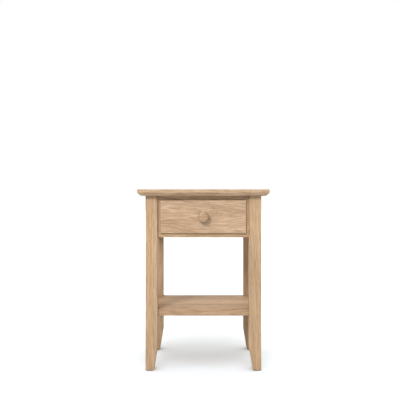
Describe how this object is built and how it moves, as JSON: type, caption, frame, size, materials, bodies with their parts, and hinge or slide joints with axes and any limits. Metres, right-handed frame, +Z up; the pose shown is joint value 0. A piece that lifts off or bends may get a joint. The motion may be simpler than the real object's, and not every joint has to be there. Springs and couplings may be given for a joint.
{
  "type": "nightstand",
  "caption": "Light oak nightstand on four tapered legs, with an under-bevelled top, a lipped drawer with a turned wooden knob, and an open lower shelf.",
  "frame": {"origin": "on the floor, under the middle of the top", "axes": "+X to the viewer's right, -Y out of the front, +Z up"},
  "size_m": [0.458, 0.365, 0.635],
  "materials": {
    "oak": "solid oak, natural matt oil, fine open grain",
    "pale_oak": "bare planed oak, unfinished, a shade lighter",
    "plywood": "birch-faced plywood, sanded",
    "steel": "bright zinc-plated steel",
    "felt": "dense dark felt"
  },
  "bodies": {
    "frame": {"top_panel": "oak", "leg_front_left": "oak", "leg_front_right": "oak", "leg_back_left": "oak", "leg_back_right": "oak", "front_top_rail": "oak", "front_bottom_rail": "oak", "front_stile_left": "oak", "front_stile_right": "oak", "side_apron_left": "oak", "side_apron_right": "oak", "back_apron": "oak", "runner_left": "pale_oak", "runner_right": "pale_oak", "guide_left": "pale_oak", "guide_right": "pale_oak", "kicker_left": "pale_oak", "kicker_right": "pale_oak", "shelf": "oak", "shelf_dowels": "pale_oak", "top_screws": "steel", "runner_screws": "steel", "kicker_screws": "steel", "guide_screws": "steel", "glide_front_left": "felt", "glide_front_right": "felt", "glide_back_left": "felt", "glide_back_right": "felt"},
    "drawer": {"drawer_front": "oak", "drawer_side_left": "pale_oak", "drawer_side_right": "pale_oak", "drawer_back": "pale_oak", "drawer_bottom": "plywood", "drawer_bottom_screws": "steel", "knob": "oak", "knob_screw": "steel", "knob_washer": "steel"}
  },
  "joints": [
    {"name": "drawer_slide", "type": "slide", "parent": "frame", "child": "drawer", "axis": [0, -1, 0], "range_m": [0, 0.2]}
  ]
}
